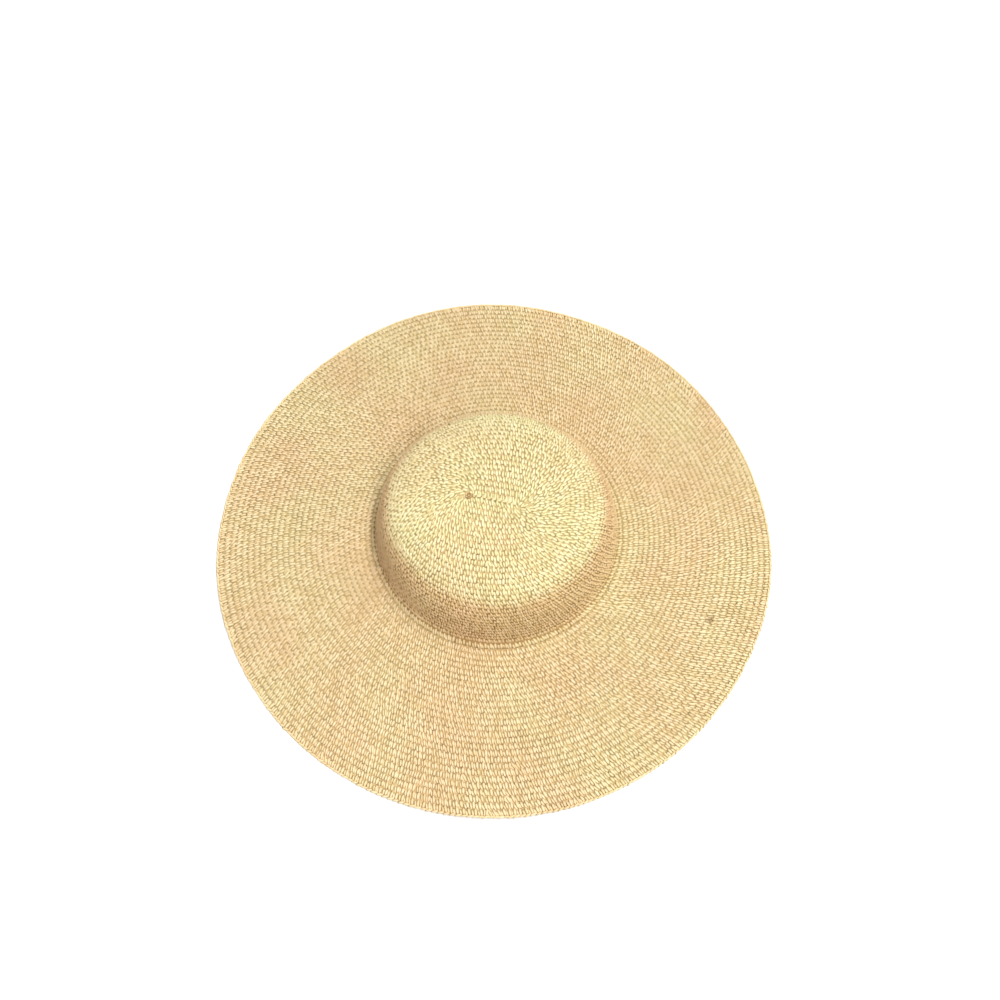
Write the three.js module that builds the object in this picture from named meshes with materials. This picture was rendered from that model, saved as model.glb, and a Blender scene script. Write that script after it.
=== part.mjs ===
import * as THREE from 'three';
import { mergeVertices } from 'three/addons/utils/BufferGeometryUtils.js';

// Floppy straw hat, lying on a flat surface on the underside of its rim.
// Millimetres, +Z up, -Y towards the viewer, origin on the surface in the middle of the rim.

// Driving dimensions.
const STRAW_THICKNESS = 2.4;
const SEAM_GAP = 0.3;

const RIM_HALF_LENGTH = 225;
const RIM_HALF_WIDTH = 219.2;
const CREASE_HALF_LENGTH = 101.6;
const CREASE_HALF_WIDTH = 98.1;
const CREASE_CENTRE = new THREE.Vector2(2.7, 5.3);
const CREASE_LIFT = 1.6;

const START_CHAIN_HALF_LENGTH = 18.5;
const START_CHAIN_TURN = THREE.MathUtils.degToRad(-14);
const START_CHAIN_CENTRE = new THREE.Vector2(0.4, 2.7);
const START_END_ROUNDNESS = 0.3;

// Faceting.
const STEPS_AROUND = 72;
const CROWN_RINGS = 18;
const CREASE_CROWDING = 1.6;
const BRIM_RINGS = 8;

// The crown's outer profile, from the start chain on top down to where the brim begins.
// reach is a share of the crease's half size, height is above the surface.
const CROWN_PROFILE = [
  { reach: 0.03, height: 79.6 },
  { reach: 0.22, height: 79.3 },
  { reach: 0.42, height: 77.6 },
  { reach: 0.58, height: 74.6 },
  { reach: 0.70, height: 69.8 },
  { reach: 0.80, height: 62.0 },
  { reach: 0.865, height: 52.0 },
  { reach: 0.91, height: 40.0 },
  { reach: 0.943, height: 25.0 },
  { reach: 0.968, height: 12.0 },
  { reach: 0.985, height: 6.0 },
  { reach: 1.005, height: 4.2 },
  { reach: 1.03, height: CREASE_LIFT + STRAW_THICKNESS },
];

// Shallow dents that a hand leaves in the soft crown, each an oval with a smooth floor.
const CROWN_DENTS = [
  { x: -5, y: -9, halfLength: 66, halfWidth: 37, turnDeg: -14, depth: 3.6 },
  { x: -47, y: -51, halfLength: 46, halfWidth: 20, turnDeg: -38, depth: 2.2 },
];

// Where the soft rim lifts off the surface or reaches further out than a true oval.
// at and halfSpan are degrees round the rim, counted from +X towards +Y.
const RIM_WAVES = [
  { at: 27, halfSpan: 25, lift: 0.0, reach: -1.0 },
  { at: 95, halfSpan: 34, lift: 3.4, reach: 0.2 },
  { at: 136, halfSpan: 24, lift: 0.0, reach: -1.2 },
  { at: 190, halfSpan: 26, lift: 2.2, reach: 0.8 },
  { at: 270, halfSpan: 30, lift: 3.4, reach: 0.2 },
  { at: 348, halfSpan: 24, lift: 2.8, reach: 1.1 },
];

// The part of the brim's width, from the rim inwards, that lies flat where the rim isn't lifted.
const RESTING_SHARE = 0.25;

const EDGE_ROUNDING = 0.9;

const STRAW_COLOUR = 0xe7cc9b;
const CROWN_COLOUR = 0xe9d0a2;

function smoothBump(distance, halfSpan) {
  if (Math.abs(distance) >= halfSpan) {
    return 0;
  }
  return 0.5 + 0.5 * Math.cos((Math.PI * distance) / halfSpan);
}

function degreesBetween(a, b) {
  return THREE.MathUtils.euclideanModulo(a - b + 180, 360) - 180;
}

function rimWave(angle, column) {
  const degrees = THREE.MathUtils.radToDeg(angle);
  return RIM_WAVES.reduce(
    (sum, wave) => sum + wave[column] * smoothBump(degreesBetween(degrees, wave.at), wave.halfSpan),
    0,
  );
}

// A level line of the crown: the start chain grown outwards, which rounds off into the crease's oval.
function crownLevelPoint(reach, angle, target) {
  const straightHalf = START_CHAIN_HALF_LENGTH * Math.max(1 - reach, 0) ** 2;
  const fullHalf = START_CHAIN_HALF_LENGTH + (CREASE_HALF_LENGTH - START_CHAIN_HALF_LENGTH) * reach;
  const c = Math.cos(angle);
  const spread = Math.sqrt(1 + START_END_ROUNDNESS ** 2) / Math.hypot(c, START_END_ROUNDNESS);
  target.set(
    straightHalf * spread * c + (fullHalf - straightHalf) * c,
    CREASE_HALF_WIDTH * reach * Math.sin(angle),
  );
  const rise = Math.max(1 - reach, 0);
  target.rotateAround(new THREE.Vector2(), START_CHAIN_TURN * rise ** 2);
  return target.add(CREASE_CENTRE).addScaledVector(
    new THREE.Vector2().subVectors(START_CHAIN_CENTRE, CREASE_CENTRE),
    rise,
  );
}

function dentDepth(point) {
  return CROWN_DENTS.reduce((sum, dent) => {
    const local = new THREE.Vector2(point.x - dent.x, point.y - dent.y);
    local.rotateAround(new THREE.Vector2(), -THREE.MathUtils.degToRad(dent.turnDeg));
    const distance = Math.hypot(local.x / dent.halfLength, local.y / dent.halfWidth);
    return sum + dent.depth * smoothBump(distance, 1);
  }, 0);
}

// The rows of a surface, each a ring of STEPS_AROUND points, from a function of row and angle.
function gridRows(rowCount, pointAt) {
  return Array.from({ length: rowCount }, (_, row) =>
    Array.from({ length: STEPS_AROUND }, (_, step) =>
      pointAt(row, (2 * Math.PI * step) / STEPS_AROUND)));
}

// The same rows moved by distance along the surface's own outward normals.
function offsetRows(rows, distance) {
  const along = new THREE.Vector3();
  const around = new THREE.Vector3();
  return rows.map((ring, row) => ring.map((point, step) => {
    const inner = rows[Math.max(row - 1, 0)][step];
    const outer = rows[Math.min(row + 1, rows.length - 1)][step];
    along.subVectors(outer, inner);
    around.subVectors(
      ring[(step + 1) % STEPS_AROUND],
      ring[(step + STEPS_AROUND - 1) % STEPS_AROUND],
    );
    return point.clone().addScaledVector(along.cross(around).normalize(), distance);
  }));
}

// Joins rings of points, in order, into one closed skin. The first and the last ring are each capped
// with a fan to the ring's middle, or else the last ring joins the first.
function skinFromRings(rings, capped) {
  const positions = rings.flat().flatMap((point) => point.toArray());
  const index = [];
  const corner = (ring, step) =>
    (ring % rings.length) * STEPS_AROUND + (step % STEPS_AROUND);
  const strips = capped ? rings.length - 1 : rings.length;
  for (let ring = 0; ring < strips; ring += 1) {
    for (let step = 0; step < STEPS_AROUND; step += 1) {
      const a = corner(ring, step);
      const b = corner(ring + 1, step);
      const c = corner(ring + 1, step + 1);
      const d = corner(ring, step + 1);
      index.push(a, b, c, a, c, d);
    }
  }
  if (capped) {
    for (const [ring, turn] of [[0, 0], [rings.length - 1, 1]]) {
      const middle = new THREE.Vector3();
      rings[ring].forEach((point) => middle.add(point));
      middle.divideScalar(STEPS_AROUND);
      const centre = positions.length / 3;
      positions.push(...middle.toArray());
      for (let step = 0; step < STEPS_AROUND; step += 1) {
        const near = corner(ring, step + turn);
        const far = corner(ring, step + 1 - turn);
        index.push(centre, near, far);
      }
    }
  }
  const geometry = new THREE.BufferGeometry();
  geometry.setAttribute('position', new THREE.Float32BufferAttribute(positions, 3));
  geometry.setIndex(index);
  const merged = mergeVertices(geometry);
  merged.computeVertexNormals();
  return merged;
}

function makeCrown() {
  const curve = new THREE.SplineCurve(
    CROWN_PROFILE.map(({ reach, height }) =>
      new THREE.Vector2(reach * CREASE_HALF_WIDTH, height)),
  );
  const profile = Array.from({ length: CROWN_RINGS + 1 }, (_, ring) =>
    curve.getPointAt(1 - (1 - ring / CROWN_RINGS) ** CREASE_CROWDING));
  const flat = new THREE.Vector2();
  const outside = gridRows(profile.length, (row, angle) => {
    crownLevelPoint(profile[row].x / CREASE_HALF_WIDTH, angle, flat);
    return new THREE.Vector3(flat.x, flat.y, profile[row].y - dentDepth(flat));
  });
  const inside = offsetRows(outside, -STRAW_THICKNESS);
  return skinFromRings([...outside, ...inside.reverse()], true);
}

function brimPoint(share, angle, side) {
  const inner = crownLevelPoint(CROWN_PROFILE.at(-1).reach, angle, new THREE.Vector2());
  const outward = new THREE.Vector2(
    CREASE_HALF_WIDTH * Math.cos(angle),
    CREASE_HALF_LENGTH * Math.sin(angle),
  ).normalize();
  inner.addScaledVector(outward, SEAM_GAP);
  const reach = rimWave(angle, 'reach');
  const outer = new THREE.Vector2(
    (RIM_HALF_LENGTH + reach) * Math.cos(angle),
    (RIM_HALF_WIDTH + reach) * Math.sin(angle),
  );
  const flat = inner.lerp(outer, share);
  const slope = Math.max(1 - share / (1 - RESTING_SHARE), 0);
  const under = CREASE_LIFT * slope + rimWave(angle, 'lift') * share ** 2;
  return new THREE.Vector3(flat.x, flat.y, under + side * STRAW_THICKNESS);
}

function makeBrim() {
  const edgeShare = EDGE_ROUNDING / (RIM_HALF_WIDTH - CREASE_HALF_WIDTH);
  const share = (row) => (1 - edgeShare) * (row / BRIM_RINGS);
  const top = gridRows(BRIM_RINGS + 1, (row, angle) => brimPoint(share(row), angle, 1));
  const edge = gridRows(1, (_, angle) => brimPoint(1, angle, 0.5));
  const underneath = gridRows(BRIM_RINGS + 1, (row, angle) => brimPoint(share(row), angle, 0));
  return skinFromRings([...top, ...edge, ...underneath.reverse()], false);
}

function strawMesh(name, geometry, colour, roughness) {
  const material = new THREE.MeshStandardMaterial({ color: colour, roughness, metalness: 0 });
  const mesh = new THREE.Mesh(geometry, material);
  mesh.name = name;
  return mesh;
}

const hat = new THREE.Group();
hat.name = 'floppy_straw_hat';
hat.add(strawMesh('crown', makeCrown(), CROWN_COLOUR, 0.7));
hat.add(strawMesh('brim', makeBrim(), STRAW_COLOUR, 0.75));

export default hat;
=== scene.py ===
import math

import bpy
import numpy as np
from mathutils import Matrix, Vector


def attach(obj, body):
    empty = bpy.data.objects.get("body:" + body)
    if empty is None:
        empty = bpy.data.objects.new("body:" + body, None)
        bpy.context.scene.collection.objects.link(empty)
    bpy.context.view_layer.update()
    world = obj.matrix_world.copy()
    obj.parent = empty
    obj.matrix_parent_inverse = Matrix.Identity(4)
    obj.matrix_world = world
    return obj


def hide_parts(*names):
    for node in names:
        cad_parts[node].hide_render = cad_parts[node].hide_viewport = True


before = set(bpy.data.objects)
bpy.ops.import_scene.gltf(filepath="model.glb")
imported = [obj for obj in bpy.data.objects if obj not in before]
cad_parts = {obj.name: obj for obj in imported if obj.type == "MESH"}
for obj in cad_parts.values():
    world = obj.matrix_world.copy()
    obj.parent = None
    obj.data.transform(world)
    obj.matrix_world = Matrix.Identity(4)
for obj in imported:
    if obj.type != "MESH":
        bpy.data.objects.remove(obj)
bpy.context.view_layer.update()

# The crown.
# One strand of natural straw, crocheted in rounds from a short start chain on top, out over the
# shoulder and down to the crease. Every stitch is hooked into the round before it and leans a
# little: outside it shows one plump slanting leg, with a lower one in the hollow beside it.
MM = 0.001
STITCH_WIDTH = 3.92 * MM
CROWN_ROUNDS = 32
FABRIC_THICKNESS = 2.4 * MM
START_CHAIN_HALF_LENGTH = 18.5 * MM
START_CHAIN_TURN = math.radians(-14)
START_CHAIN_CENTRE = (0.4 * MM, 2.7 * MM)
START_END_ROUNDNESS = 0.3
CREASE_HALF_LENGTH = 101.6 * MM
CREASE_HALF_WIDTH = 98.1 * MM
CREASE_CENTRE = (2.7 * MM, 5.3 * MM)
CREASE_HEIGHT_MM = 5.0

# Columns: reach as a share of the crease's half size, height above the surface in mm.
CROWN_PROFILE = (
    (0.0, 79.6), (0.22, 79.3), (0.42, 77.5), (0.575, 74.3), (0.69, 69.5), (0.78, 62.0),
    (0.846, 52.0), (0.895, 40.0), (0.935, 25.0), (0.96, 15.0), (0.981, 9.4), (1.004, 6.4),
    (1.03, CREASE_HEIGHT_MM),
)

# Columns: x, y, half length and half width in mm, turn in degrees, depth in mm. The last three are
# the pinches at the start chain's ends, the left one deeper, where the strand's tail is tucked in.
CROWN_DENTS = (
    (-5, -9, 66, 37, -14, 3.6),
    (-47, -51, 46, 20, -38, 2.2),
    (-21, 9, 16, 13, -14, 1.4),
    (-18, 7, 6, 5, -14, 1.6),
    (20, -3, 13, 9, -14, 0.8),
)


def smooth_curve(points, steps=40):
    """A Catmull-Rom curve through the points, as a fine polyline."""
    padded = np.vstack([points[:1], points, points[-1:]])
    t = np.linspace(0, 1, steps, endpoint=False)[:, None]
    pieces = []
    for before, start, end, after in zip(padded, padded[1:], padded[2:], padded[3:]):
        leave, arrive = (end - before) / 2, (after - start) / 2
        cubic = 2 * start - 2 * end + leave + arrive
        square = 3 * end - 3 * start - 2 * leave - arrive
        pieces.append(((cubic * t + square) * t + leave) * t + start)
    return np.vstack([*pieces, points[-1:]])


def smooth_bump(distance):
    """1 at the middle, 0 from a distance of 1 on."""
    return 0.5 + 0.5 * np.cos(np.pi * np.clip(np.abs(distance), 0, 1))


def crown_level(reach, angle):
    """A level line: the start chain grown outwards, rounding off into the crease's oval."""
    rise = np.maximum(1 - reach, 0)
    straight = START_CHAIN_HALF_LENGTH * rise ** 2
    full = START_CHAIN_HALF_LENGTH + (CREASE_HALF_LENGTH - START_CHAIN_HALF_LENGTH) * reach
    c = np.cos(angle)
    spread = math.hypot(1, START_END_ROUNDNESS) / np.hypot(c, START_END_ROUNDNESS)
    x = straight * spread * c + (full - straight) * c
    y = CREASE_HALF_WIDTH * reach * np.sin(angle)
    turn = START_CHAIN_TURN * rise ** 2
    drift_x, drift_y = np.subtract(START_CHAIN_CENTRE, CREASE_CENTRE)
    return (
        x * np.cos(turn) - y * np.sin(turn) + CREASE_CENTRE[0] + drift_x * rise,
        x * np.sin(turn) + y * np.cos(turn) + CREASE_CENTRE[1] + drift_y * rise,
    )


crown_curve = smooth_curve(np.array(CROWN_PROFILE) * (CREASE_HALF_WIDTH, MM))
crown_run = np.append(0, np.cumsum(np.hypot(*np.diff(crown_curve, axis=0).T)))


def crown_form(along, angle):
    """The crown's outside, along metres from the start chain and angle round it."""
    reach = np.interp(along, crown_run, crown_curve[:, 0]) / CREASE_HALF_WIDTH
    height = np.interp(along, crown_run, crown_curve[:, 1])
    x, y = crown_level(reach, angle)
    for dent_x, dent_y, half_length, half_width, turn, depth in CROWN_DENTS:
        c, s = math.cos(math.radians(turn)), math.sin(math.radians(turn))
        dx, dy = x / MM - dent_x, y / MM - dent_y
        away = np.hypot((dx * c + dy * s) / half_length, (dy * c - dx * s) / half_width)
        height = height - depth * MM * smooth_bump(away)
    return np.stack([x, y, height], axis=-1)


# How far apart a form is sampled for its directions: metres along it, radians round it.
STEP_ALONG = 0.3 * MM
STEP_ROUND = 0.004


def on_form(form, along, angle, depth=0.0):
    """Points depth under a form's outside, with the directions around, out and away from it."""
    along, angle = np.broadcast_arrays(along, angle)
    out = form(along + STEP_ALONG, angle) - form(along - STEP_ALONG, angle)
    around = form(along, angle + STEP_ROUND) - form(along, angle - STEP_ROUND)
    away = np.cross(out, around)
    directions = [v / np.linalg.norm(v, axis=-1, keepdims=True) for v in (around, out, away)]
    return (form(along, angle) - depth * directions[2], *directions)


# Every quarter of a degree round the hat.
ANGLES = np.linspace(0, 2 * math.pi, 4 * 360 + 1)

# How far a stitch's head stands beside its foot, in stitch widths, and how that varies with the
# hand's tension. Columns: swings in a round, drift from round to round in radians, size.
MEAN_LEAN = 0.44
LEAN_WAVES = ((3, 0.31, 0.10), (7, -0.23, 0.08), (13, 0.41, 0.06))


def lean_share(angle, number):
    """The lean in stitch widths at each angle of the round with this number."""
    lean = MEAN_LEAN
    for swings, drift, size in LEAN_WAVES:
        lean = lean + size * np.sin(swings * angle + drift * number)
    return lean


# The widest gaps of a round, as judged to within GAP_JUDGEMENT, take its extra stitches. An extra
# stitch is hooked in beside an old one, NEW_FOOT of the way to the next. All heads are then evened
# out EVENING_STEPS times.
GAP_JUDGEMENT = 0.1
NEW_FOOT = 0.1
EVENING_STEPS = 12
# In stitch widths: the most a stitch leans, how far off its place it may sit, and its own width.
MOST_LEAN = 0.8
PLACE_SPREAD = 0.13
LEAST_WIDTH = 0.85
MOST_WIDTH = 1.5


def work_rounds(form, middles, heights, parents, number, dice):
    """Places each stitch of each round over its foot in the round before, and adds stitches where
    the round grows most. Returns the places and the last round's angles."""
    places = {"point": [], "around": [], "away": [], "size": []}
    for middle, height in zip(middles, heights):
        line = form(middle, ANGLES)
        arc = np.append(0, np.cumsum(np.linalg.norm(np.diff(line, axis=0), axis=1)))
        whole = arc[-1]
        count = round(whole / STITCH_WIDTH)
        if parents is None:
            parents = np.interp(np.arange(count) * whole / count, arc, ANGLES)
        foot = np.interp(parents, ANGLES, arc)
        head = foot + lean_share(parents, number) * STITCH_WIDTH
        more = count - len(foot)
        if more > 0:
            gaps = np.diff(np.append(foot, foot[0] + whole))
            gaps *= dice.uniform(1 - GAP_JUDGEMENT, 1 + GAP_JUDGEMENT, len(foot))
            slots = np.sort(np.argsort(gaps)[-more:])
            following = np.append(foot, foot[0] + whole)[slots + 1]
            beside = foot[slots] * (1 - NEW_FOOT) + following * NEW_FOOT
            foot = np.insert(foot, slots + 1, beside)
            after = np.append(head, head[0] + whole)[slots + 1]
            head = np.insert(head, slots + 1, (head[slots] + after) / 2)
        for _ in range(EVENING_STEPS):
            before = np.append(head[-1] - whole, head[:-1])
            after = np.append(head[1:], head[0] + whole)
            head = head + 0.5 * ((before + after) / 2 - head)
        sideways = np.clip(head - foot, -MOST_LEAN * STITCH_WIDTH, MOST_LEAN * STITCH_WIDTH)
        spread = dice.uniform(-PLACE_SPREAD, PLACE_SPREAD, len(head)) * STITCH_WIDTH
        angle = np.interp((head - sideways / 2 + spread) % whole, arc, ANGLES)
        point, around, out, away = on_form(form, middle, angle)
        ends = [form(middle + half, angle) for half in (-height / 2, height / 2)]
        local_height = np.linalg.norm(ends[1] - ends[0], axis=-1)
        slant = np.arctan2(sideways, local_height)[:, None]
        places["point"].append(point)
        places["around"].append(around * np.cos(slant) - out * np.sin(slant))
        places["away"].append(away)
        ring = np.concatenate([[head[-1] - whole], head, [head[0] + whole]])
        width = np.clip((ring[2:] - ring[:-2]) / 2,
                        LEAST_WIDTH * STITCH_WIDTH, MOST_WIDTH * STITCH_WIDTH)
        places["size"].append(np.stack([width, local_height / np.cos(slant[:, 0]),
                                        np.full(len(angle), FABRIC_THICKNESS)], axis=1))
        parents = np.sort(np.interp(head % whole, arc, ANGLES))
        number += 1
    return places, parents, number


def leg_mesh(name, legs, sides=4):
    """Strand legs as closed tapering tubes. A leg is a list of stations (x, y, z, half width, half
    thickness), pointed at both ends, in stitch widths, round heights and fabric thicknesses."""
    points, faces, strand = [], [], []
    for leg in legs:
        stations = np.array(leg, float)
        length = len(stations) - 1
        tip = len(points)
        points.append(stations[0, :3])
        strand.append((0, 0, 0))
        for i, (x, y, z, wide, thick) in enumerate(stations[1:-1], 1):
            heading = stations[i + 1, :2] - stations[i - 1, :2]
            heading = heading / np.hypot(*heading)
            for k in range(sides):
                turn = 2 * math.pi * k / sides
                across = wide * math.cos(turn)
                points.append((x + heading[1] * across, y - heading[0] * across,
                               z + thick * math.sin(turn)))
                strand.append((i / length, k / sides, 0))
        end = len(points)
        points.append(stations[-1, :3])
        strand.append((1, 0, 0))
        ring = [[tip + 1 + i * sides + k for k in range(sides)] for i in range(length - 1)]
        for k in range(sides):
            n = (k + 1) % sides
            faces.append((tip, ring[0][n], ring[0][k]))
            faces.append((end, ring[-1][k], ring[-1][n]))
            for low, high in zip(ring, ring[1:]):
                faces.append((low[k], low[n], high[n], high[k]))
    mesh = bpy.data.meshes.new(name)
    mesh.from_pydata([tuple(p) for p in points], [], faces)
    mesh.attributes.new("strand", "FLOAT_VECTOR", "POINT").data.foreach_set(
        "vector", np.array(strand, float).ravel())
    mesh.polygons.foreach_set("use_smooth", [True] * len(mesh.polygons))
    return mesh


# A stitch seen from outside: one plump top leg from foot to head, which goes on in the stitch of the
# next round, and a low leg beside it that fills the hollow up to its neighbour. The columns of
# these tables are those of leg_mesh.
TOP_LEG = (
    (-0.03, -0.62, -0.33, 0, 0),
    (-0.04, -0.43, -0.07, 0.21, 0.15),
    (-0.01, -0.10, 0.11, 0.29, 0.18),
    (0.03, 0.22, 0.11, 0.29, 0.18),
    (0.05, 0.45, -0.08, 0.21, 0.15),
    (0.03, 0.62, -0.33, 0, 0),
)
LOW_LEG = (
    (-0.45, -0.56, -0.42, 0, 0),
    (-0.48, -0.36, -0.15, 0.20, 0.15),
    (-0.50, 0.00, 0.03, 0.25, 0.17),
    (-0.50, 0.30, -0.01, 0.23, 0.16),
    (-0.48, 0.52, -0.39, 0, 0),
)
# The same stitch from inside the hat: one low bar across the round.
INSIDE_BAR = (
    (-0.52, -0.10, 0.0, 0, 0),
    (-0.20, 0.02, 0.06, 0.24, 0.16),
    (0.20, 0.06, 0.06, 0.24, 0.16),
    (0.52, -0.06, 0.0, 0, 0),
)


def linear(colour):
    """An sRGB hex colour as linear RGBA."""
    parts = [int(colour[i:i + 2], 16) / 255 for i in (1, 3, 5)]
    return (*[c / 12.92 if c <= 0.04045 else ((c + 0.055) / 1.055) ** 2.4 for c in parts], 1)


def add_node(tree, kind, settings=None, inputs=None):
    """One node with its settings, and its inputs' values or the sockets they are linked from."""
    node = tree.nodes.new(kind)
    for key, value in (settings or {}).items():
        setattr(node, key, value)
    for key, value in (inputs or {}).items():
        if isinstance(value, bpy.types.NodeSocket):
            tree.links.new(value, node.inputs[key])
        else:
            node.inputs[key].default_value = value
    return node


# A stitch's tone at which its straw has the middle shade.
MIDDLE_TONE = 0.45
# Uneven bleaching: the size of its patches, and the noise at which they are warmest and palest.
BLEACH_PATCH = 70 * MM
WARM_TINT = "#fff4ea"
PALE_TINT = "#fffcf0"
WARMEST_AT = 0.35
PALEST_AT = 0.65
# Painted shade: the darker colour given to a leg's ends, where they are tucked under its
# neighbours, and the shares of its length between which it lies open and is left unshaded.
TUCKED_SHADE = "#cab588"
OPEN_BETWEEN = (0.24, 0.78)
# Fibres: noise drawn out along the strand, and how much it darkens, brightens and ridges the straw.
FIBRE_STRETCH = (2.0, 9.0, 1.0)
FIBRE_SCALE = 3.0
FIBRE_NOISE = (0.3, 0.7)
FIBRE_SHADES = (0.86, 1.08)
FIBRE_RIDGE = 0.08 * MM
# A round stain: its colour, where it starts to fade and ends, and how much straw shows at its middle.
STAIN_COLOUR = "#a3845a"
STAIN_CORE = 1.8 * MM
STAIN_REACH = 3.8 * MM
STAIN_SPARES = 0.25
FAR_BELOW = (0, 0, -1)
WHITE = "#ffffff"


def straw_material(name, dark, middle, light, roughness, warm=WARM_TINT,
                   painted_height_shade=((0.0, WHITE),), stain=FAR_BELOW):
    """Natural straw strand, split and twisted by hand: each stitch catches a paler or browner
    stretch of it, fine fibres run along it, and the whole hat is unevenly bleached. Shade is painted
    into it by height, given as shares of the hat's height, darkening the crown's wall, and where a
    leg's ends are tucked under the next round. A small round stain can darken it at one spot."""
    material = bpy.data.materials.new(name)
    material.use_nodes = True
    tree = material.node_tree
    shader = tree.nodes["Principled BSDF"]
    place = add_node(tree, "ShaderNodeTexCoord")
    tone = add_node(tree, "ShaderNodeAttribute", {"attribute_name": "tone"})
    strand = add_node(tree, "ShaderNodeAttribute", {"attribute_name": "strand"})
    shades = add_node(tree, "ShaderNodeValToRGB", inputs={"Fac": tone.outputs["Fac"]})
    shades.color_ramp.elements[0].color = linear(dark)
    shades.color_ramp.elements[1].color = linear(light)
    shades.color_ramp.elements.new(MIDDLE_TONE).color = linear(middle)
    bleach = add_node(tree, "ShaderNodeTexNoise", inputs={
        "Vector": place.outputs["Object"], "Scale": 1 / BLEACH_PATCH, "Detail": 2.0})
    tint = add_node(tree, "ShaderNodeValToRGB", inputs={"Fac": bleach.outputs["Fac"]})
    tint.color_ramp.elements[0].position = WARMEST_AT
    tint.color_ramp.elements[0].color = linear(warm)
    tint.color_ramp.elements[1].position = PALEST_AT
    tint.color_ramp.elements[1].color = linear(PALE_TINT)
    tinted = add_node(tree, "ShaderNodeMix", {"data_type": "RGBA", "blend_type": "MULTIPLY"}, {
        "Factor": 1.0, "A": shades.outputs["Color"], "B": tint.outputs["Color"]})
    # Painted shade by height: below the shoulder the crown's wall is coloured darker and warmer,
    # standing in for the shade on it.
    height = add_node(tree, "ShaderNodeSeparateXYZ", inputs={"Vector": place.outputs["Object"]})
    level = add_node(tree, "ShaderNodeMapRange", inputs={
        "Value": height.outputs["Z"], "From Max": CROWN_PROFILE[0][1] * MM})
    height_shade_ramp = add_node(tree, "ShaderNodeValToRGB", inputs={"Fac": level.outputs["Result"]})
    height_shade_ramp.color_ramp.elements.remove(height_shade_ramp.color_ramp.elements[1])
    for number, (share, colour) in enumerate(painted_height_shade):
        if number:
            height_shade_ramp.color_ramp.elements.new(share)
        height_shade_ramp.color_ramp.elements[number].position = share
        height_shade_ramp.color_ramp.elements[number].color = linear(colour)
    height_shaded = add_node(tree, "ShaderNodeMix", {"data_type": "RGBA", "blend_type": "MULTIPLY"}, {
        "Factor": 1.0, "A": tinted.outputs["Result"], "B": height_shade_ramp.outputs["Color"]})
    # Painted shade: a leg's ends, tucked under its neighbours, are coloured darker as the shade there.
    along = add_node(tree, "ShaderNodeSeparateXYZ", inputs={"Vector": strand.outputs["Vector"]})
    ends = add_node(tree, "ShaderNodeValToRGB", inputs={"Fac": along.outputs["X"]})
    ends.color_ramp.elements[0].color = linear(TUCKED_SHADE)
    ends.color_ramp.elements[1].color = linear(TUCKED_SHADE)
    for share in OPEN_BETWEEN:
        ends.color_ramp.elements.new(share).color = linear(WHITE)
    tucked_shaded = add_node(tree, "ShaderNodeMix", {"data_type": "RGBA", "blend_type": "MULTIPLY"}, {
        "Factor": 1.0, "A": height_shaded.outputs["Result"], "B": ends.outputs["Color"]})
    stretched = add_node(tree, "ShaderNodeVectorMath", {"operation": "MULTIPLY_ADD"}, {
        0: strand.outputs["Vector"], 1: FIBRE_STRETCH, 2: place.outputs["Object"]})
    shifted = add_node(tree, "ShaderNodeVectorMath", {"operation": "ADD"}, {
        0: stretched.outputs["Vector"], 1: tone.outputs["Vector"]})
    fibres = add_node(tree, "ShaderNodeTexNoise", inputs={
        "Vector": shifted.outputs["Vector"], "Scale": FIBRE_SCALE, "Detail": 3.0})
    streak = add_node(tree, "ShaderNodeMapRange", inputs={
        "Value": fibres.outputs["Fac"], "From Min": FIBRE_NOISE[0], "From Max": FIBRE_NOISE[1],
        "To Min": FIBRE_SHADES[0], "To Max": FIBRE_SHADES[1]})
    streaked = add_node(tree, "ShaderNodeVectorMath", {"operation": "SCALE"}, {
        0: tucked_shaded.outputs["Result"], "Scale": streak.outputs["Result"]})
    away = add_node(tree, "ShaderNodeVectorMath", {"operation": "DISTANCE"}, {
        0: place.outputs["Object"], 1: stain})
    spared = add_node(tree, "ShaderNodeMapRange", inputs={
        "Value": away.outputs["Value"], "From Min": STAIN_CORE, "From Max": STAIN_REACH,
        "To Min": STAIN_SPARES, "To Max": 1.0})
    stained = add_node(tree, "ShaderNodeMix", {"data_type": "RGBA"}, {
        "Factor": spared.outputs["Result"], "A": linear(STAIN_COLOUR),
        "B": streaked.outputs["Vector"]})
    ridge = add_node(tree, "ShaderNodeBump", inputs={
        "Height": fibres.outputs["Fac"], "Strength": 0.5, "Distance": FIBRE_RIDGE})
    tree.links.new(stained.outputs["Result"], shader.inputs["Base Color"])
    tree.links.new(ridge.outputs["Normal"], shader.inputs["Normal"])
    shader.inputs["Roughness"].default_value = roughness
    shader.inputs["IOR"].default_value = 1.45
    shader.inputs["Specular IOR Level"].default_value = 0.35
    return material


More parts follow.
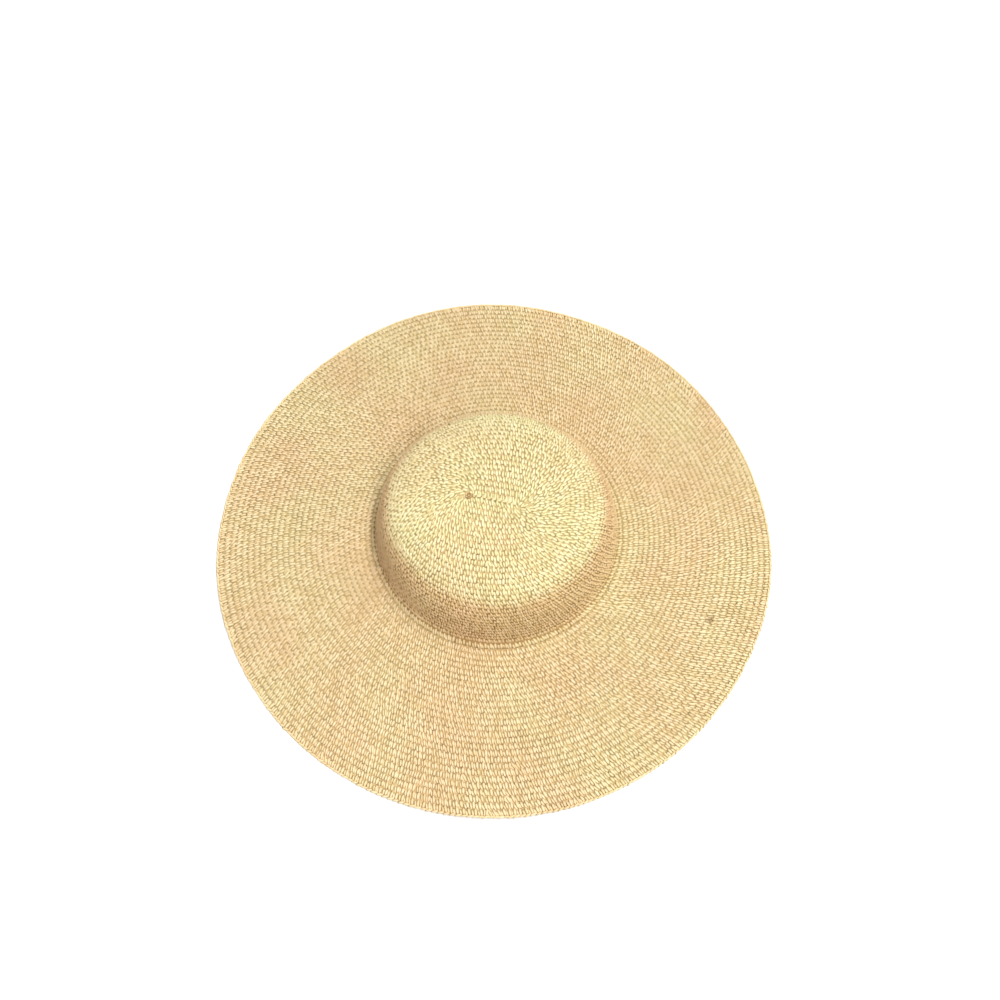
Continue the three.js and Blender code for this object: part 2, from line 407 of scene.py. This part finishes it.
def stitch_tree():
    """Sets one stitch on each place, turned to the fabric, a little uneven, and toned at random."""
    tree = bpy.data.node_groups.new("crochet_stitches", "GeometryNodeTree")
    sockets = tree.interface
    for name, kind in (("Places", "Geometry"), ("Stitch", "Object"), ("Unevenness", "Float"),
                       ("Tilt", "Float"), ("Seed", "Int"), ("Straw", "Material")):
        sockets.new_socket(name, in_out="INPUT", socket_type=f"NodeSocket{kind}")
    sockets.new_socket("Stitches", in_out="OUTPUT", socket_type="NodeSocketGeometry")
    given = add_node(tree, "NodeGroupInput").outputs
    named = {
        name: add_node(tree, "GeometryNodeInputNamedAttribute", {"data_type": "FLOAT_VECTOR"},
                       {"Name": name}).outputs["Attribute"]
        for name in ("around", "away", "size")
    }
    turn = add_node(tree, "FunctionNodeAxesToRotation", {"primary_axis": "Z", "secondary_axis": "X"}, {
        "Primary Axis": named["away"], "Secondary Axis": named["around"]})
    least = add_node(tree, "ShaderNodeMath", {"operation": "MULTIPLY"}, {0: given["Tilt"], 1: -1.0})
    wobble = add_node(tree, "FunctionNodeRandomValue", {"data_type": "FLOAT_VECTOR"}, {
        "Min": least.outputs[0], "Max": given["Tilt"], "Seed": given["Seed"]})
    tipped = add_node(tree, "FunctionNodeEulerToRotation", inputs={0: wobble.outputs[0]})
    turned = add_node(tree, "FunctionNodeRotateRotation", {"rotation_space": "LOCAL"}, {
        0: turn.outputs[0], 1: tipped.outputs[0]})
    low = add_node(tree, "ShaderNodeMath", {"operation": "SUBTRACT"}, {0: 1.0, 1: given["Unevenness"]})
    high = add_node(tree, "ShaderNodeMath", {"operation": "ADD"}, {0: 1.0, 1: given["Unevenness"]})
    other = add_node(tree, "ShaderNodeMath", {"operation": "ADD"}, {0: given["Seed"], 1: 1.0})
    grown = add_node(tree, "FunctionNodeRandomValue", {"data_type": "FLOAT_VECTOR"}, {
        "Min": low.outputs[0], "Max": high.outputs[0], "Seed": other.outputs[0]})
    scale = add_node(tree, "ShaderNodeVectorMath", {"operation": "MULTIPLY"}, {
        0: named["size"], 1: grown.outputs[0]})
    stitch = add_node(tree, "GeometryNodeObjectInfo", inputs={
        "Object": given["Stitch"], "As Instance": True})
    placed = add_node(tree, "GeometryNodeInstanceOnPoints", inputs={
        "Points": given["Places"], "Instance": stitch.outputs["Geometry"],
        "Rotation": turned.outputs[0], "Scale": scale.outputs[0]})
    third = add_node(tree, "ShaderNodeMath", {"operation": "ADD"}, {0: given["Seed"], 1: 2.0})
    tone = add_node(tree, "FunctionNodeRandomValue", {"data_type": "FLOAT"}, {
        "Seed": third.outputs[0]})
    toned = add_node(tree, "GeometryNodeStoreNamedAttribute",
                     {"data_type": "FLOAT", "domain": "INSTANCE"},
                     {"Geometry": placed.outputs[0], "Name": "tone", "Value": tone.outputs[1]})
    real = add_node(tree, "GeometryNodeRealizeInstances", inputs={0: toned.outputs[0]})
    made = add_node(tree, "GeometryNodeSetMaterial", inputs={
        "Geometry": real.outputs[0], "Material": given["Straw"]})
    add_node(tree, "NodeGroupOutput", inputs={0: made.outputs[0]})
    return tree


# How far a stitch differs in size from its place's, as a share, and is tipped, in radians.
UNEVENNESS = 0.13
TILT = 0.15


def stitched_piece(name, places, stitch, material, depth, seed):
    """A piece of many stitches: places go in as loose points, and come out as one plain mesh."""
    joined = {key: np.concatenate(parts) for key, parts in places.items()}
    spots = bpy.data.meshes.new(name + "_places")
    spots.from_pydata((joined["point"] - depth * joined["away"]).tolist(), [], [])
    for key in ("around", "away", "size"):
        spots.attributes.new(key, "FLOAT_VECTOR", "POINT").data.foreach_set(
            "vector", joined[key].ravel())
    carrier = bpy.data.objects.new(name + "_places", spots)
    bpy.context.scene.collection.objects.link(carrier)
    template = bpy.data.objects.new(name + "_stitch", stitch)
    bpy.context.scene.collection.objects.link(template)
    modifier = carrier.modifiers.new("stitches", "NODES")
    modifier.node_group = crochet
    values = {"Stitch": template, "Unevenness": UNEVENNESS, "Tilt": TILT, "Seed": seed,
              "Straw": material}
    for item in crochet.interface.items_tree:
        if item.name in values:
            modifier[item.identifier] = values[item.name]
    made = carrier.evaluated_get(bpy.context.evaluated_depsgraph_get())
    mesh = bpy.data.meshes.new_from_object(made)
    mesh.name = name
    carrier.modifiers.remove(modifier)
    for spare in (carrier, template):
        bpy.data.objects.remove(spare)
    for key in ("around", "away", "size"):
        if key in mesh.attributes:
            mesh.attributes.remove(mesh.attributes[key])
    piece = bpy.data.objects.new(name, mesh)
    bpy.context.scene.collection.objects.link(piece)
    return piece


# Depths below the fabric's outside: the levels that the heights of legs and bars count from, and
# the thin sheet between them.
LEG_DEPTH = 0.96 * MM
BACKING_DEPTH = 1.55 * MM
BACKING_THICKNESS = 0.4 * MM
BAR_DEPTH = FABRIC_THICKNESS - 0.35 * MM
# The strand attribute halfway along a leg, where it lies open.
HALFWAY = (0.5, 0, 0)


def backing_piece(name, form, alongs, material, capped, steps):
    """The strand's hidden passes behind the legs: one thin closed sheet inside the fabric, with
    this many steps round. Capped, it covers the middle, and otherwise it leaves it open."""
    angles = np.linspace(0, 2 * math.pi, steps, endpoint=False)[None, :]
    alongs = np.array(alongs)[:, None]
    outside = on_form(form, alongs, angles, BACKING_DEPTH)[0]
    inside = on_form(form, alongs, angles, BACKING_DEPTH + BACKING_THICKNESS)[0][::-1]
    rings = np.concatenate([outside, inside])
    count = len(rings)
    faces = []
    for ring in range(count - 1 if capped else count):
        first, second = ring * steps, (ring + 1) % count * steps
        for k in range(steps):
            n = (k + 1) % steps
            faces.append((first + k, second + k, second + n, first + n))
    if capped:
        faces.append(tuple(range(steps)))
        faces.append(tuple(reversed(range((count - 1) * steps, count * steps))))
    mesh = bpy.data.meshes.new(name)
    mesh.from_pydata(rings.reshape(-1, 3).tolist(), [], faces)
    mesh.polygons.foreach_set("use_smooth", [True] * len(mesh.polygons))
    mesh.attributes.new("strand", "FLOAT_VECTOR", "POINT").data.foreach_set(
        "vector", np.tile(HALFWAY, len(mesh.vertices)))
    mesh.materials.append(material)
    piece = bpy.data.objects.new(name, mesh)
    bpy.context.scene.collection.objects.link(piece)
    return piece


def turned_inside(places):
    """The same places for the fabric's other face."""
    return {**places, "away": [-away for away in places["away"]]}


HAND_SEED = 7
crochet = stitch_tree()
dice = np.random.default_rng(HAND_SEED)

crown_pitch = crown_run[-1] / CROWN_ROUNDS
crown_middles = (np.arange(CROWN_ROUNDS) + 0.5) * crown_pitch
crown_places, crown_feet, next_number = work_rounds(
    crown_form, crown_middles, np.full(CROWN_ROUNDS, crown_pitch), None, 0, dice)

stitch_legs = leg_mesh("stitch_legs", [TOP_LEG, LOW_LEG])
inside_bar = leg_mesh("inside_bar", [INSIDE_BAR])

# Natural straw strand, hand-twisted and sun-bleached on the crown: cream, dry, with a faint sheen.
# Shade is painted on its wall: from just above the crease to the shoulder it is coloured darker and
# warmer.
bleached_straw = straw_material(
    "bleached_straw_strand", dark="#efe4b0", middle="#f5ebbb", light="#faf2c8", roughness=0.45,
    painted_height_shade=((0.05, "#fbf4f4"), (0.14, "#f0dbd4"), (0.68, "#f0dbd4"), (0.82, WHITE)))
# The strand's hidden passes inside the crown, seen in the gaps: painted darker as shade, duller,
# and painted darker still below the shoulder as the wall's shade.
shaded_crown_inner = straw_material(
    "bleached_inner_straw_strand", dark="#d4c090", middle="#dac796", light="#e0ce9f",
    roughness=0.8, painted_height_shade=((0.68, "#d6c4b4"), (0.82, WHITE)))

SHOULDER_ROUND = 17
CROWN_BACKING_START = 1.5 * MM
CROWN_BACKING_RINGS = 64
CROWN_BACKING_STEPS = 180
crown_split = {
    "crown_top_stitches": slice(0, SHOULDER_ROUND),
    "crown_wall_stitches": slice(SHOULDER_ROUND, CROWN_ROUNDS),
}
for name, part in crown_split.items():
    chosen = {key: parts[part] for key, parts in crown_places.items()}
    piece = stitched_piece(name, chosen, stitch_legs, bleached_straw, LEG_DEPTH, seed=11)
    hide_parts("crown")
    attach(piece, "root")

crown_inside = stitched_piece("crown_inside_bars", turned_inside(crown_places), inside_bar,
                              bleached_straw, -BAR_DEPTH, seed=12)
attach(crown_inside, "root")

crown_backing = backing_piece(
    "crown_backing", crown_form,
    np.linspace(CROWN_BACKING_START, crown_run[-1], CROWN_BACKING_RINGS),
    shaded_crown_inner, True, CROWN_BACKING_STEPS)
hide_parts("crown")
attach(crown_backing, "root")

# The start chain.
# The first stitches of all: a short straight chain on top of the crown, with the strand's cut end
# twisted once round and tucked into the pinch at its left end, browner from being handled.
CHAIN_LINK = (
    (-0.62, 0.02, -0.12, 0, 0),
    (-0.25, -0.15, 0.08, 0.17, 0.20),
    (0.20, -0.17, 0.12, 0.18, 0.20),
    (0.58, 0.00, -0.08, 0, 0),
)
CHAIN_LINKS = 9
# The share of the chain's half length that its links reach, and how far beside its line they lie.
CHAIN_REACH = 0.95
CHAIN_BESIDE = 0.6 * MM
CHAIN_LINK_LENGTH = 4.2 * MM
CHAIN_LINK_WIDTH = 3.6 * MM
CHAIN_DEPTH = 0.8 * MM

chain_share = (np.arange(CHAIN_LINKS) + 0.5) / CHAIN_LINKS * (2 * CHAIN_REACH) - CHAIN_REACH
chain_cosine = START_END_ROUNDNESS * chain_share / np.sqrt(
    1 + START_END_ROUNDNESS ** 2 - chain_share ** 2)
chain_point, _, _, chain_away = on_form(crown_form, CHAIN_BESIDE, np.arccos(chain_cosine))
chain_along = np.tile([math.cos(START_CHAIN_TURN), math.sin(START_CHAIN_TURN), 0], (CHAIN_LINKS, 1))
chain_size = np.tile([CHAIN_LINK_LENGTH, CHAIN_LINK_WIDTH, FABRIC_THICKNESS], (CHAIN_LINKS, 1))
chain_places = {
    "point": [chain_point], "around": [chain_along], "away": [chain_away], "size": [chain_size],
}
mirrored_link = [(x, -y, z, wide, thick) for x, y, z, wide, thick in CHAIN_LINK]
chain_link = leg_mesh("chain_link", [CHAIN_LINK, mirrored_link])
start_chain = stitched_piece("start_chain", chain_places, chain_link, bleached_straw,
                             CHAIN_DEPTH, seed=13)
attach(start_chain, "root")

# The tail is a rising spiral that tightens, drawn from its outer end. It starts at this angle and
# reach, and its middle stands this far off the chain's left end.
TAIL_TURNS = 1.6
TAIL_STATIONS = 26
TAIL_SIDES = 6
TAIL_START = 2.4
TAIL_REACH_MM = 3.3
TAIL_TIGHTENING_MM = 2.4
TAIL_HALF_WIDTH = 0.46 * MM
TAIL_OFFSET_MM = (-0.2, 0.1, -0.5)
TAIL_FLATNESS = 0.8
TAIL_RISE = 1.5 * MM

turns = np.linspace(0, 1, TAIL_STATIONS)
tail_angle = TAIL_START + 2 * math.pi * TAIL_TURNS * turns
tail_reach = (TAIL_REACH_MM - TAIL_TIGHTENING_MM * turns) * MM
tail_width = TAIL_HALF_WIDTH * np.sqrt(np.clip(4 * turns * (1 - turns), 0, 1))
tail_middle = crown_form(0.0, np.array(math.pi)) + np.array(TAIL_OFFSET_MM) * MM
tail_stations = np.stack([
    tail_middle[0] + tail_reach * np.cos(tail_angle),
    tail_middle[1] + TAIL_FLATNESS * tail_reach * np.sin(tail_angle),
    tail_middle[2] + TAIL_RISE * turns,
    tail_width, tail_width], axis=1)
# The same strand where it was cut and handled: browner, duller.
handled_straw = straw_material(
    "handled_straw_strand", dark="#a67c4c", middle="#b18857", light="#bc9463", roughness=0.6)
tail_mesh = leg_mesh("start_tail", [tail_stations], TAIL_SIDES)
tail_mesh.materials.append(handled_straw)
start_tail = bpy.data.objects.new("start_tail", tail_mesh)
bpy.context.scene.collection.objects.link(start_tail)
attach(start_tail, "root")

# The brim.
# The same strand worked on outwards from the crease in ever larger rounds, with a stitch added
# here and there so that it lies flat. It is soft, so the rim lifts off the surface in low waves.
BRIM_ROUNDS = 27
# The first and the last round's height in mm, before all are fitted to the brim's width, and how
# far each may differ, as a share.
FIRST_ROUND_MM = 4.15
LAST_ROUND_MM = 4.75
ROUND_UNEVENNESS = 0.06
RIM_HALF_LENGTH = 225 * MM
RIM_HALF_WIDTH = 219.2 * MM
CREASE_LIFT = 1.6 * MM
# The outer share of the brim that lies flat, and the width of the fillet at the crease.
RESTING_SHARE = 0.25
CREASE_ROUNDING = 8 * MM

# Columns: angle and half span in degrees from +X towards +Y, lift and extra reach in mm.
RIM_WAVES = (
    (27, 25, 0.0, -1.0),
    (95, 34, 3.4, 0.2),
    (136, 24, 0.0, -1.2),
    (190, 26, 2.2, 0.8),
    (270, 30, 3.4, 0.2),
    (348, 24, 2.8, 1.1),
)


def rim_wave(angle, column):
    """The sum of one column of the rim's waves at each angle."""
    total = 0
    for wave in RIM_WAVES:
        away = (np.degrees(angle) - wave[0] + 180) % 360 - 180
        total = total + wave[column] * MM * smooth_bump(away / wave[1])
    return total


brim_width = RIM_HALF_WIDTH - CREASE_HALF_WIDTH * CROWN_PROFILE[-1][0]


def brim_form(along, angle):
    """The brim's upper side, along metres from the crease and angle round it."""
    share = along / brim_width
    inner_x, inner_y = crown_level(CROWN_PROFILE[-1][0], angle)
    reach = rim_wave(angle, 3)
    x = inner_x + ((RIM_HALF_LENGTH + reach) * np.cos(angle) - inner_x) * share
    y = inner_y + ((RIM_HALF_WIDTH + reach) * np.sin(angle) - inner_y) * share
    slope = np.maximum(1 - share / (1 - RESTING_SHARE), 0)
    z = CREASE_LIFT * slope + rim_wave(angle, 2) * share ** 2 + FABRIC_THICKNESS
    rise = CREASE_HEIGHT_MM * MM - CREASE_LIFT - FABRIC_THICKNESS
    z = z + rise * np.maximum(1 - along / CREASE_ROUNDING, 0) ** 2
    return np.stack([x, y, z], axis=-1)


brim_heights = np.linspace(FIRST_ROUND_MM, LAST_ROUND_MM, BRIM_ROUNDS)
brim_heights *= dice.uniform(1 - ROUND_UNEVENNESS, 1 + ROUND_UNEVENNESS, BRIM_ROUNDS)
brim_heights *= brim_width / brim_heights.sum()
brim_middles = np.cumsum(brim_heights) - brim_heights / 2
brim_places, rim_feet, _ = work_rounds(
    brim_form, brim_middles, brim_heights, crown_feet, next_number, dice)

STAIN_PLACE = (171 * MM, -75 * MM, 3 * MM)
# The same natural straw strand, less bleached: cream to honey, dry, with a faint sheen.
honey_straw = straw_material(
    "honey_straw_strand", dark="#ebd7a8", middle="#f0deb3", light="#f5e5be", roughness=0.45,
    warm="#fff2e8", stain=STAIN_PLACE)
# The strand's hidden passes inside the brim, seen in the gaps: painted browner as shade, and duller.
shaded_inner_straw = straw_material(
    "inner_straw_strand", dark="#cbb586", middle="#d2bc8c", light="#d9c596", roughness=0.8)

MIDDLE_ROUND = 11
OUTER_ROUND = 20
BRIM_BACKING_START = -0.5 * MM
BRIM_BACKING_RINGS = 34
BRIM_BACKING_STEPS = 360
brim_split = {
    "brim_inner_stitches": slice(0, MIDDLE_ROUND),
    "brim_middle_stitches": slice(MIDDLE_ROUND, OUTER_ROUND),
    "brim_outer_stitches": slice(OUTER_ROUND, BRIM_ROUNDS),
}
for name, part in brim_split.items():
    chosen = {key: parts[part] for key, parts in brim_places.items()}
    piece = stitched_piece(name, chosen, stitch_legs, honey_straw, LEG_DEPTH, seed=21)
    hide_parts("brim")
    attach(piece, "root")

brim_under = stitched_piece("brim_underside_bars", turned_inside(brim_places), inside_bar,
                            honey_straw, -BAR_DEPTH, seed=22)
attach(brim_under, "root")

brim_backing = backing_piece(
    "brim_backing", brim_form, np.linspace(BRIM_BACKING_START, brim_width, BRIM_BACKING_RINGS),
    shaded_inner_straw, False, BRIM_BACKING_STEPS)
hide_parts("brim")
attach(brim_backing, "root")

# The rim's edge.
# The last round is finished with slip stitches drawn tight round the edge, which lie side by side
# like the turns of a thin rope and give the rim its fine scalloped line.
EDGE_LEG = (
    (-0.85, -0.30, -0.30, 0, 0),
    (-0.50, -0.22, 0.10, 0.20, 0.30),
    (0.00, -0.06, 0.28, 0.26, 0.34),
    (0.45, 0.06, 0.14, 0.22, 0.30),
    (0.85, 0.02, -0.30, 0, 0),
)
EDGE_DEPTH = FABRIC_THICKNESS / 2
EDGE_HEIGHT = 3.6 * MM
edge_point, edge_around, _, edge_away = on_form(brim_form, brim_width, rim_feet)
edge_size = np.tile([STITCH_WIDTH, EDGE_HEIGHT, FABRIC_THICKNESS], (len(rim_feet), 1))
edge_places = {
    "point": [edge_point], "around": [edge_around], "away": [edge_away], "size": [edge_size],
}
edge_leg = leg_mesh("edge_leg", [EDGE_LEG])
rim_edge = stitched_piece("rim_edge", edge_places, edge_leg, honey_straw, EDGE_DEPTH, seed=31)
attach(rim_edge, "root")

# The setting.
# A plain white studio floor in an even white surround, under one long strip of soft light. The
# camera stands where the photograph was taken from.
FLOOR_SIZE = 12.0
floor_mesh = bpy.data.meshes.new("floor")
half = FLOOR_SIZE / 2
floor_mesh.from_pydata([(-half, -half, 0), (half, -half, 0), (half, half, 0), (-half, half, 0)],
                       [], [(0, 1, 2, 3)])
floor = bpy.data.objects.new("floor", floor_mesh)
bpy.context.scene.collection.objects.link(floor)
# Matt white studio paper.
paper = bpy.data.materials.new("studio_paper")
paper.use_nodes = True
paper.node_tree.nodes["Principled BSDF"].inputs["Base Color"].default_value = linear("#f7f7f7")
paper.node_tree.nodes["Principled BSDF"].inputs["Roughness"].default_value = 1.0
floor_mesh.materials.append(paper)

surround = bpy.data.worlds.new("surround")
bpy.context.scene.world = surround
surround.use_nodes = True
sky = surround.node_tree.nodes["Background"]
sky.inputs["Color"].default_value = linear("#f8fbff")
sky.inputs["Strength"].default_value = 0.56

# A long strip of soft light high on the right, in line with the view: what runs up and down in the
# picture shows its relief, what runs across it hardly does.
STRIP_PLACE = (0.80, -0.3, 2.70)
strip = bpy.data.lights.new("strip_softbox", "AREA")
strip.shape = "RECTANGLE"
strip.size = 0.35
strip.size_y = 3.0
strip.energy = 88.0
strip_box = bpy.data.objects.new("strip_softbox", strip)
strip_box.location = STRIP_PLACE
strip_box.rotation_euler = (0, math.atan2(STRIP_PLACE[0], STRIP_PLACE[2]), 0)
bpy.context.scene.collection.objects.link(strip_box)

# The camera: height over the horizon, distance to the hat's middle, roll, and where the photograph
# shows that middle, in pixels from its upper left corner.
CAMERA_ELEVATION = math.radians(71.2)
CAMERA_DISTANCE = 753.75 * MM
CAMERA_ROLL = math.radians(1.17)
FRAME_PIXELS = 1000
FOCAL_PIXELS = 911
HAT_PIXEL = (493.8, 536.0)
SENSOR_MM = 36

middle_pixel = FRAME_PIXELS / 2
aim = Vector((HAT_PIXEL[0] - middle_pixel, middle_pixel - HAT_PIXEL[1], FOCAL_PIXELS)).normalized()
level = Matrix((
    (1, 0, 0),
    (0, math.sin(CAMERA_ELEVATION), math.cos(CAMERA_ELEVATION)),
    (0, math.cos(CAMERA_ELEVATION), -math.sin(CAMERA_ELEVATION)),
))
aim_turn = Vector((0, 0, 1)).rotation_difference(aim).to_matrix()
right, up, forward = aim_turn @ Matrix.Rotation(CAMERA_ROLL, 3, "Z") @ level
lens = bpy.data.cameras.new("photo_view")
lens.sensor_width = SENSOR_MM
lens.lens = SENSOR_MM * FOCAL_PIXELS / FRAME_PIXELS
camera = bpy.data.objects.new("photo_view", lens)
camera.matrix_world = Matrix.Translation((
    0, -CAMERA_DISTANCE * math.cos(CAMERA_ELEVATION), CAMERA_DISTANCE * math.sin(CAMERA_ELEVATION),
)) @ Matrix((right, up, -forward)).transposed().to_4x4()
bpy.context.scene.collection.objects.link(camera)
bpy.context.scene.camera = camera
bpy.context.scene.view_settings.view_transform = "Standard"
